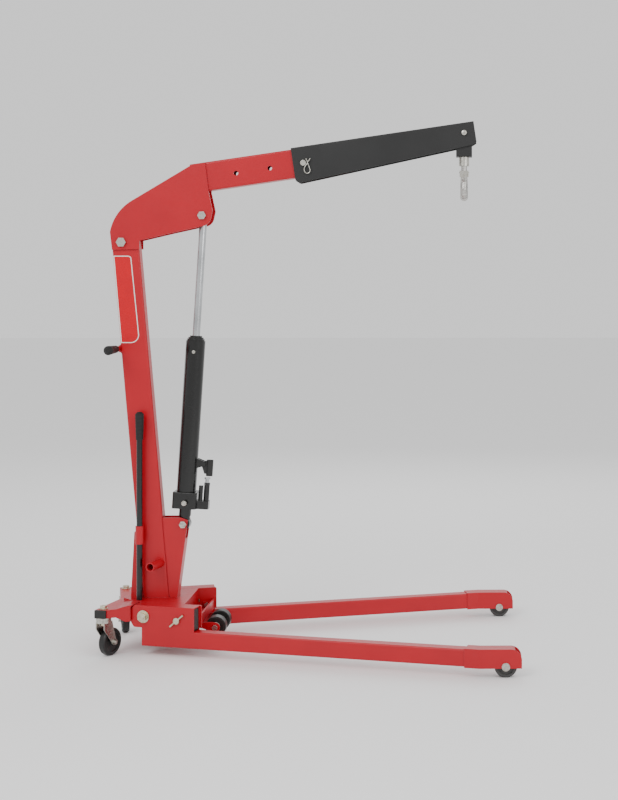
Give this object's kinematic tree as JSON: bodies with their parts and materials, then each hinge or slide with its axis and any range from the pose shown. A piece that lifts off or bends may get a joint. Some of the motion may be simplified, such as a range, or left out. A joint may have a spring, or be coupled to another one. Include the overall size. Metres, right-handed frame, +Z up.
{
  "type": "engine hoist crane",
  "caption": "Folding workshop crane: leaning mast with a hydraulic ram, sliding boom with a swivel hook, and splayed legs on wheels.",
  "frame": {"origin": "on the floor, at the middle of the crane's length and width", "axes": "+X forward to the hook and the leg tips, +Y to the crane's left, +Z up"},
  "size_m": [1.5536, 0.9704, 1.9744],
  "materials": {
    "frame_red": "gloss red paint over steel",
    "channel_grey": "satin dark grey paint over steel",
    "black_steel": "black paint over steel",
    "zinc": "bright zinc plate",
    "chrome_rod": "ground and chromed rod",
    "grip_rubber": "soft black grip",
    "tyre_grey": "dark grey moulded nylon",
    "cap_plastic": "black moulded plastic"
  },
  "bodies": {
    "frame": {"mast_tube": "frame_red", "mast_pivot_bush": "zinc", "ram_bracket": "frame_red", "mast_rear_gusset": "frame_red", "base_top_plate": "frame_red", "base_side_plate_left": "frame_red", "base_side_plate_right": "frame_red", "rear_arms": "frame_red", "arm_webs": "frame_red", "arm_end_caps": "cap_plastic", "push_bar": "frame_red", "push_bar_grips": "grip_rubber", "handle_sleeve": "frame_red", "leg_rests": "frame_red", "leg_pivot_bolts": "zinc", "ram_lower_bolt": "zinc", "roller_bracket": "frame_red", "roller_axle": "zinc", "roller_bracket_bolts": "zinc", "caster_stem_bolts": "zinc", "caster_top_races": "zinc"},
    "boom": {"boom_cheek_left": "frame_red", "boom_cheek_right": "frame_red", "boom_web": "frame_red", "boom_tube": "frame_red", "boom_bolts": "zinc"},
    "extension": {"boom_extension": "channel_grey", "hook_bolt": "zinc"},
    "extension_lock": {"extension_pin": "zinc", "extension_clip": "zinc"},
    "hook_hanger": {"hook_block": "channel_grey"},
    "hook_swivel": {"hook": "zinc", "hook_collar": "zinc"},
    "latch": {"hook_latch": "zinc"},
    "ram": {"ram_cylinder": "black_steel", "ram_gland": "black_steel", "pump_block": "black_steel", "ram_lower_eye": "black_steel"},
    "ram_rod": {"piston_rod": "chrome_rod"},
    "plunger": {"pump_plunger": "chrome_rod"},
    "lever": {"pump_lever": "black_steel"},
    "valve": {"release_valve": "zinc"},
    "handle": {"pump_handle_rod": "black_steel", "pump_handle_grip": "grip_rubber"},
    "leg_left": {"leg_tube_left": "frame_red", "front_bracket_left": "frame_red", "front_axle_left": "zinc"},
    "front_roller_left": {"front_wheel_left": "tyre_grey"},
    "pin_left": {"lock_pin_left": "zinc"},
    "caster_left": {"caster_fork_left": "zinc"},
    "caster_roller_left": {"caster_wheel_left": "tyre_grey"},
    "base_roller_left": {"transport_roller_left": "tyre_grey"},
    "leg_right": {"leg_tube_right": "frame_red", "front_bracket_right": "frame_red", "front_axle_right": "zinc"},
    "front_roller_right": {"front_wheel_right": "tyre_grey"},
    "pin_right": {"lock_pin_right": "zinc"},
    "caster_right": {"caster_fork_right": "zinc"},
    "caster_roller_right": {"caster_wheel_right": "tyre_grey"},
    "base_roller_right": {"transport_roller_right": "tyre_grey"}
  },
  "joints": [
    {"name": "boom_lift", "type": "hinge", "parent": "frame", "child": "boom", "pos_m": [-0.706, 0, 1.5175], "axis": [0, -1, 0], "range_deg": [-65, 12]},
    {"name": "ram_tilt", "type": "hinge", "parent": "frame", "child": "ram", "pos_m": [-0.478, 0, 0.4585], "axis": [0, 1, 0], "range_deg": [-3, 3]},
    {"name": "rod_slide", "type": "slide", "parent": "ram", "child": "ram_rod", "axis": [0.0624, 0, 0.9981], "range_m": [-0.34, 0.065]},
    {"name": "extension_slide", "type": "slide", "parent": "boom", "child": "extension", "axis": [0.989, 0, 0.1478], "range_m": [-0.256, 0]},
    {"name": "extension_pin_pull", "type": "slide", "parent": "extension", "child": "extension_lock", "axis": [0, -1, 0], "range_m": [0, 0.06]},
    {"name": "hanger_swing", "type": "hinge", "parent": "extension", "child": "hook_hanger", "pos_m": [0.57699, 0, 1.92996], "axis": [0, -1, 0], "range_deg": [-30, 80]},
    {"name": "hook_turn", "type": "hinge", "parent": "hook_hanger", "child": "hook_swivel", "pos_m": [0.57699, 0, 1.83], "axis": [0, 0, 1], "continuous": true},
    {"name": "latch_open", "type": "hinge", "parent": "hook_swivel", "child": "latch", "pos_m": [0.57699, -0.002, 1.782], "axis": [1, 0, 0], "range_deg": [0, 30]},
    {"name": "pump_lever_turn", "type": "hinge", "parent": "ram", "child": "lever", "pos_m": [-0.40576, 0, 0.68443], "axis": [0, 1, 0], "range_deg": [0, 35]},
    {"name": "plunger_stroke", "type": "slide", "parent": "ram", "child": "plunger", "axis": [0.0624, 0, 0.9981], "range_m": [-0.0125, 0]},
    {"name": "release_turn", "type": "hinge", "parent": "ram", "child": "valve", "pos_m": [-0.46877, -0.05, 0.54209], "axis": [0, -1, 0], "range_deg": [0, 180]},
    {"name": "handle_lift", "type": "slide", "parent": "frame", "child": "handle", "axis": [0, 0, 1], "range_m": [0, 0.285]},
    {"name": "leg_fold_left", "type": "hinge", "parent": "frame", "child": "leg_left", "pos_m": [-0.591, 0.1335, 0.144], "axis": [0.2521, -0.9677, 0], "range_deg": [0, 88]},
    {"name": "front_wheel_turn_left", "type": "hinge", "parent": "leg_left", "child": "front_roller_left", "pos_m": [0.721, 0.452, 0.04], "axis": [0, 1, 0], "continuous": true},
    {"name": "lock_pin_pull_left", "type": "slide", "parent": "leg_left", "child": "pin_left", "axis": [-0.2521, 0.9677, 0], "range_m": [0, 0.055]},
    {"name": "caster_swivel_left", "type": "hinge", "parent": "frame", "child": "caster_left", "pos_m": [-0.73787, 0.17225, 0.13], "axis": [0, 0, 1], "continuous": true},
    {"name": "caster_wheel_turn_left", "type": "hinge", "parent": "caster_left", "child": "caster_roller_left", "pos_m": [-0.7481, 0.20572, 0.05], "axis": [0.9563, 0.2924, 0], "continuous": true},
    {"name": "base_roller_turn_left", "type": "hinge", "parent": "frame", "child": "base_roller_left", "pos_m": [-0.349, 0.05, 0.084], "axis": [0, 1, 0], "continuous": true},
    {"name": "leg_fold_right", "type": "hinge", "parent": "frame", "child": "leg_right", "pos_m": [-0.591, -0.1335, 0.144], "axis": [-0.2521, -0.9677, 0], "range_deg": [0, 88]},
    {"name": "front_wheel_turn_right", "type": "hinge", "parent": "leg_right", "child": "front_roller_right", "pos_m": [0.721, -0.452, 0.04], "axis": [0, 1, 0], "continuous": true},
    {"name": "lock_pin_pull_right", "type": "slide", "parent": "leg_right", "child": "pin_right", "axis": [-0.2521, -0.9677, 0], "range_m": [0, 0.055]},
    {"name": "caster_swivel_right", "type": "hinge", "parent": "frame", "child": "caster_right", "pos_m": [-0.73787, -0.17225, 0.13], "axis": [0, 0, 1], "continuous": true},
    {"name": "caster_wheel_turn_right", "type": "hinge", "parent": "caster_right", "child": "caster_roller_right", "pos_m": [-0.72252, -0.14079, 0.05], "axis": [0.8988, -0.4384, 0], "continuous": true},
    {"name": "base_roller_turn_right", "type": "hinge", "parent": "frame", "child": "base_roller_right", "pos_m": [-0.349, -0.05, 0.084], "axis": [0, 1, 0], "continuous": true}
  ],
  "couplings": [
    {"joint": "ram_tilt", "follows": "boom_lift", "ratio": 0.02},
    {"joint": "rod_slide", "follows": "boom_lift", "m_per_rad": 0.2979},
    {"joint": "plunger_stroke", "follows": "pump_lever_turn", "m_per_rad": -0.0196}
  ]
}
